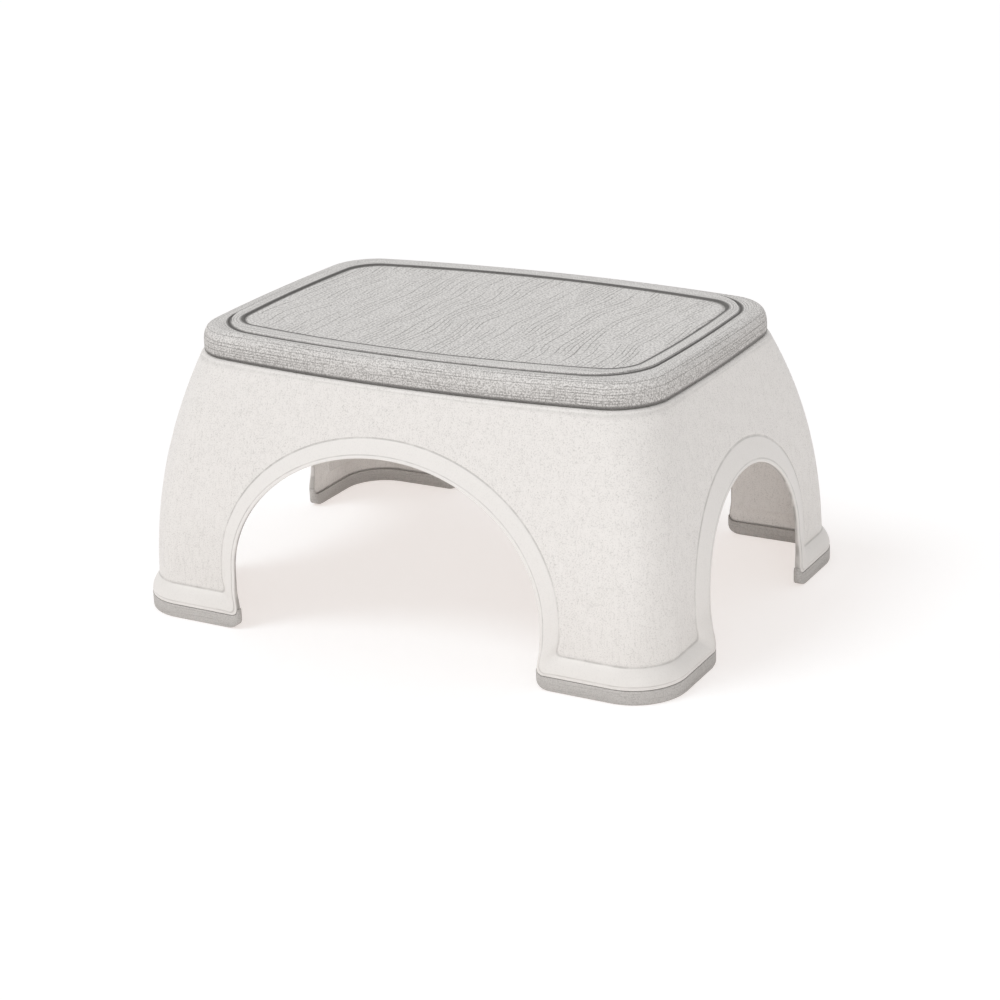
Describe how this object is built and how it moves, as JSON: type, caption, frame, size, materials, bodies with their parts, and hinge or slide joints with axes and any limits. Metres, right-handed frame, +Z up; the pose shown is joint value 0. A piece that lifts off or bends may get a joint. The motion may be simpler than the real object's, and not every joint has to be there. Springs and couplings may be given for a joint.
{
  "type": "toddler step stool",
  "caption": "Low step stool for toddlers: one moulded shell with flared legs and arched sides, a soft non-slip tread over the deck and rubber shoes on the feet.",
  "frame": {"origin": "middle of the footprint on the floor", "axes": "+X along the stool to its right-hand end, +Y from the front to the back, +Z up"},
  "size_m": [0.428, 0.319, 0.205],
  "materials": {
    "shell_plastic": "warm off-white polypropylene with a fine moulded grain and a soft satin sheen",
    "tread_rubber": "light grey soft rubber, matt, with a fine wavy non-slip grain on the panel",
    "shoe_rubber": "grey rubber, matt"
  },
  "bodies": {
    "root": {"body_shell": "shell_plastic", "tread": "tread_rubber", "foot_front_left": "shoe_rubber", "foot_front_right": "shoe_rubber", "foot_rear_left": "shoe_rubber", "foot_rear_right": "shoe_rubber"}
  },
  "joints": []
}
